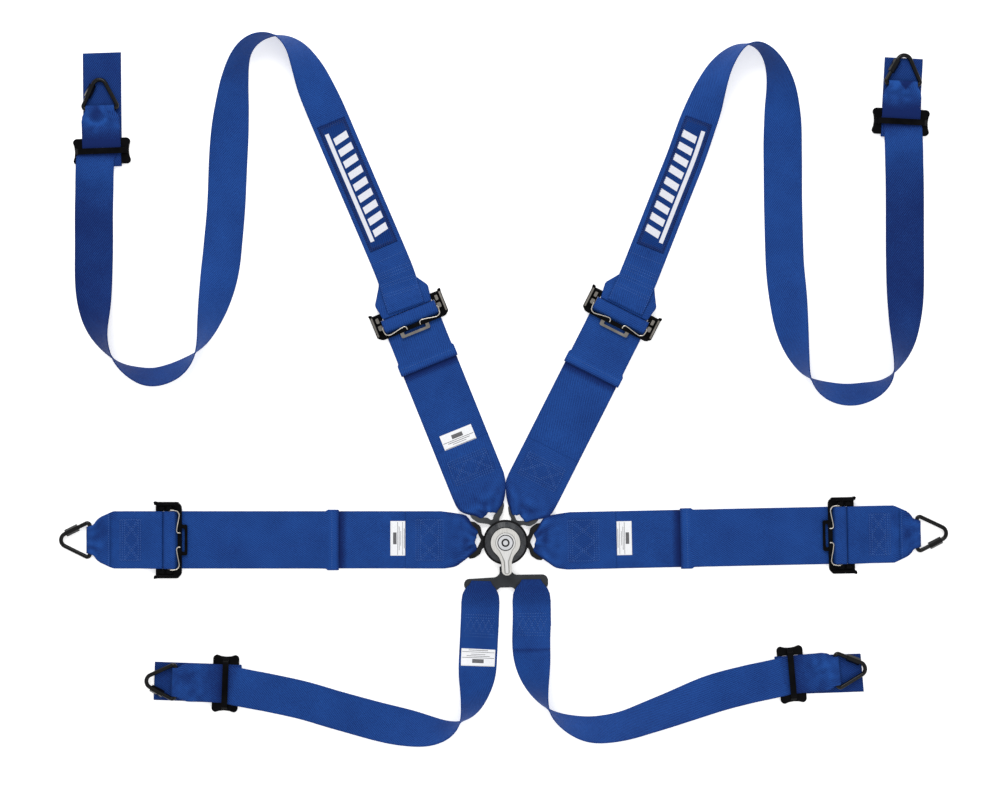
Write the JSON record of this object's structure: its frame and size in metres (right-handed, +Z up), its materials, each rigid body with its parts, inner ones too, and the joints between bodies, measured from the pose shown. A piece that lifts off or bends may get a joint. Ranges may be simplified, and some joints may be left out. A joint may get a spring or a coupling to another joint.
{
  "type": "racing harness",
  "caption": "Blue racing safety harness laid out flat: lever-release buckle, shoulder, lap and crotch belts, adjusters, slides and anchor links.",
  "frame": {"origin": "on the floor under the release lever's turning axis", "axes": "+X along the lap belts to the picture's right, +Y up the chest towards the shoulder belts, +Z up from the floor it lies on"},
  "size_m": [1.1809, 0.9435, 0.0508],
  "materials": {
    "webbing": "matt woven polyester",
    "patch": "matt woven patch",
    "label": "printed satin label",
    "black_steel": "satin black",
    "tongue": "satin dark grey",
    "housing": "matt dark grey",
    "lever": "brushed",
    "cap": "satin",
    "spring_wire": "bright wire",
    "zinc": "zinc plated"
  },
  "bodies": {
    "buckle": {"buckle_base": "housing", "pivot_post": "zinc", "buckle_housing": "housing", "buckle_screws": "zinc"},
    "lever": {"release_lever": "lever", "cam_disc": "zinc", "lever_cap": "cap"},
    "pin_plate": {"lock_plate": "zinc", "plate_spring": "spring_wire"},
    "arm_shoulder_left": {"shoulder_tongue_left": "tongue", "shoulder_belt_left": "webbing", "adjuster_frame_shoulder_left": "black_steel", "bar_springs_shoulder_left": "spring_wire", "shoulder_strap_left": "webbing", "shoulder_patch_left": "patch", "shoulder_label": "label"},
    "arm_lap_left": {"lap_tongue_left": "tongue", "lap_belt_left": "webbing", "lap_label_left": "label", "adjuster_frame_lap_left": "black_steel", "bar_springs_lap_left": "spring_wire", "lap_anchor_left": "webbing"},
    "arm_shoulder_right": {"shoulder_tongue_right": "tongue", "shoulder_belt_right": "webbing", "adjuster_frame_shoulder_right": "black_steel", "bar_springs_shoulder_right": "spring_wire", "shoulder_strap_right": "webbing", "shoulder_patch_right": "patch"},
    "arm_lap_right": {"lap_tongue_right": "tongue", "lap_belt_right": "webbing", "lap_label_right": "label", "adjuster_frame_lap_right": "black_steel", "bar_springs_lap_right": "spring_wire", "lap_anchor_right": "webbing"},
    "arm_crotch": {"crotch_tongue": "tongue", "crotch_strap_left": "webbing", "crotch_strap_right": "webbing", "crotch_label": "label"},
    "bar_shoulder_left": {"lock_bar_shoulder_left": "zinc"},
    "bar_shoulder_right": {"lock_bar_shoulder_right": "zinc"},
    "bar_lap_left": {"lock_bar_lap_left": "zinc"},
    "bar_lap_right": {"lock_bar_lap_right": "zinc"},
    "slide_shoulderleft": {"slide_shoulder_left": "black_steel"},
    "hook_shoulder_left": {"link_shoulder_left": "black_steel"},
    "nut_shoulder_left": {"sleeve_shoulder_left": "black_steel"},
    "slide_shoulderright": {"slide_shoulder_right": "black_steel"},
    "hook_shoulder_right": {"link_shoulder_right": "black_steel"},
    "nut_shoulder_right": {"sleeve_shoulder_right": "black_steel"},
    "slide_crotchleft": {"slide_crotch_left": "black_steel"},
    "hook_crotch_left": {"link_crotch_left": "black_steel"},
    "nut_crotch_left": {"sleeve_crotch_left": "black_steel"},
    "slide_crotchright": {"slide_crotch_right": "black_steel"},
    "hook_crotch_right": {"link_crotch_right": "black_steel"},
    "nut_crotch_right": {"sleeve_crotch_right": "black_steel"},
    "hook_lap_left": {"link_lap_left": "black_steel"},
    "nut_lap_left": {"sleeve_lap_left": "black_steel"},
    "hook_lap_right": {"link_lap_right": "black_steel"},
    "nut_lap_right": {"sleeve_lap_right": "black_steel"}
  },
  "joints": [
    {"name": "lever_turn", "type": "hinge", "parent": "buckle", "child": "lever", "pos_m": [0, 0, 0.02], "axis": [0, 0, 1], "range_deg": [-45, 45], "stiffness_Nm_per_rad": 0.05},
    {"name": "pin_plate_drop", "type": "slide", "parent": "buckle", "child": "pin_plate", "axis": [0, 0, 1], "range_m": [-0.0049, 0]},
    {"name": "lap_right_release", "type": "slide", "parent": "buckle", "child": "arm_lap_right", "axis": [1, 0, 0], "range_m": [0, 0.024]},
    {"name": "shoulder_right_release", "type": "slide", "parent": "buckle", "child": "arm_shoulder_right", "axis": [0.4695, 0.8829, 0], "range_m": [0, 0.024]},
    {"name": "shoulder_left_release", "type": "slide", "parent": "buckle", "child": "arm_shoulder_left", "axis": [-0.4848, 0.8746, 0], "range_m": [0, 0.024]},
    {"name": "lap_left_release", "type": "slide", "parent": "buckle", "child": "arm_lap_left", "axis": [-1, 0, 0], "range_m": [0, 0.024]},
    {"name": "crotch_release", "type": "slide", "parent": "buckle", "child": "arm_crotch", "axis": [0.0175, -0.9998, 0], "range_m": [0, 0.024]},
    {"name": "shoulder_left_bar_slide", "type": "slide", "parent": "arm_shoulder_left", "child": "bar_shoulder_left", "axis": [-0.3746, 0.9272, 0], "range_m": [0, 0.004], "stiffness_N_per_m": 300},
    {"name": "shoulder_right_bar_slide", "type": "slide", "parent": "arm_shoulder_right", "child": "bar_shoulder_right", "axis": [0.4509, 0.8926, 0], "range_m": [0, 0.004], "stiffness_N_per_m": 300},
    {"name": "lap_left_bar_slide", "type": "slide", "parent": "arm_lap_left", "child": "bar_lap_left", "axis": [-1, 0, 0], "range_m": [0, 0.004], "stiffness_N_per_m": 300},
    {"name": "lap_right_bar_slide", "type": "slide", "parent": "arm_lap_right", "child": "bar_lap_right", "axis": [0.9998, 0.0209, 0], "range_m": [0, 0.004], "stiffness_N_per_m": 300},
    {"name": "shoulder_left_slide_shift", "type": "slide", "parent": "arm_shoulder_left", "child": "slide_shoulderleft", "axis": [-0.0349, 0.9994, 0], "range_m": [0, 0.015]},
    {"name": "shoulder_left_link_swing", "type": "hinge", "parent": "arm_shoulder_left", "child": "hook_shoulder_left", "pos_m": [-0.53797, 0.57547, 0.00605], "axis": [0.9994, 0.0349, 0], "range_deg": [0, 90]},
    {"name": "shoulder_left_sleeve_slide", "type": "slide", "parent": "hook_shoulder_left", "child": "nut_shoulder_left", "axis": [-0.4113, -0.9115, 0], "range_m": [0, 0.0095]},
    {"name": "shoulder_right_slide_shift", "type": "slide", "parent": "arm_shoulder_right", "child": "slide_shoulderright", "axis": [0.0523, 0.9986, 0], "range_m": [0, 0.015]},
    {"name": "shoulder_right_link_swing", "type": "hinge", "parent": "arm_shoulder_right", "child": "hook_shoulder_right", "pos_m": [0.52762, 0.60793, 0.00605], "axis": [0.9986, -0.0523, 0], "range_deg": [0, 90]},
    {"name": "shoulder_right_sleeve_slide", "type": "slide", "parent": "hook_shoulder_right", "child": "nut_shoulder_right", "axis": [-0.4892, -0.8722, 0], "range_m": [0, 0.0095]},
    {"name": "crotch_left_slide_shift", "type": "slide", "parent": "arm_crotch", "child": "slide_crotchleft", "axis": [-0.9994, 0.0349, 0], "range_m": [0, 0.015]},
    {"name": "crotch_left_link_swing", "type": "hinge", "parent": "arm_crotch", "child": "hook_crotch_left", "pos_m": [-0.43846, -0.18568, 0.00605], "axis": [0.0349, 0.9994, 0], "range_deg": [0, 90]},
    {"name": "crotch_left_sleeve_slide", "type": "slide", "parent": "hook_crotch_left", "child": "nut_crotch_left", "axis": [0.8806, -0.4739, 0], "range_m": [0, 0.0095]},
    {"name": "crotch_right_slide_shift", "type": "slide", "parent": "arm_crotch", "child": "slide_crotchright", "axis": [0.9962, 0.0872, 0], "range_m": [0, 0.015]},
    {"name": "crotch_right_link_swing", "type": "hinge", "parent": "arm_crotch", "child": "hook_crotch_right", "pos_m": [0.43927, -0.17081, 0.00605], "axis": [0.0872, -0.9962, 0], "range_deg": [0, 90]},
    {"name": "crotch_right_sleeve_slide", "type": "slide", "parent": "hook_crotch_right", "child": "nut_crotch_right", "axis": [-0.9318, 0.363, 0], "range_m": [0, 0.0095]},
    {"name": "lap_left_link_swing", "type": "hinge", "parent": "arm_lap_left", "child": "hook_lap_left", "pos_m": [-0.552, 0.0027, 0.0045], "axis": [0, 1, 0], "range_deg": [0, 90]},
    {"name": "lap_left_sleeve_slide", "type": "slide", "parent": "hook_lap_left", "child": "nut_lap_left", "axis": [0.8966, 0.4429, 0], "range_m": [0, 0.0095]},
    {"name": "lap_right_link_swing", "type": "hinge", "parent": "arm_lap_right", "child": "hook_lap_right", "pos_m": [0.54689, 0.01109, 0.0045], "axis": [0.0209, -0.9998, 0], "range_deg": [0, 90]},
    {"name": "lap_right_sleeve_slide", "type": "slide", "parent": "hook_lap_right", "child": "nut_lap_right", "axis": [-0.8871, -0.4616, 0], "range_m": [0, 0.0095]}
  ]
}
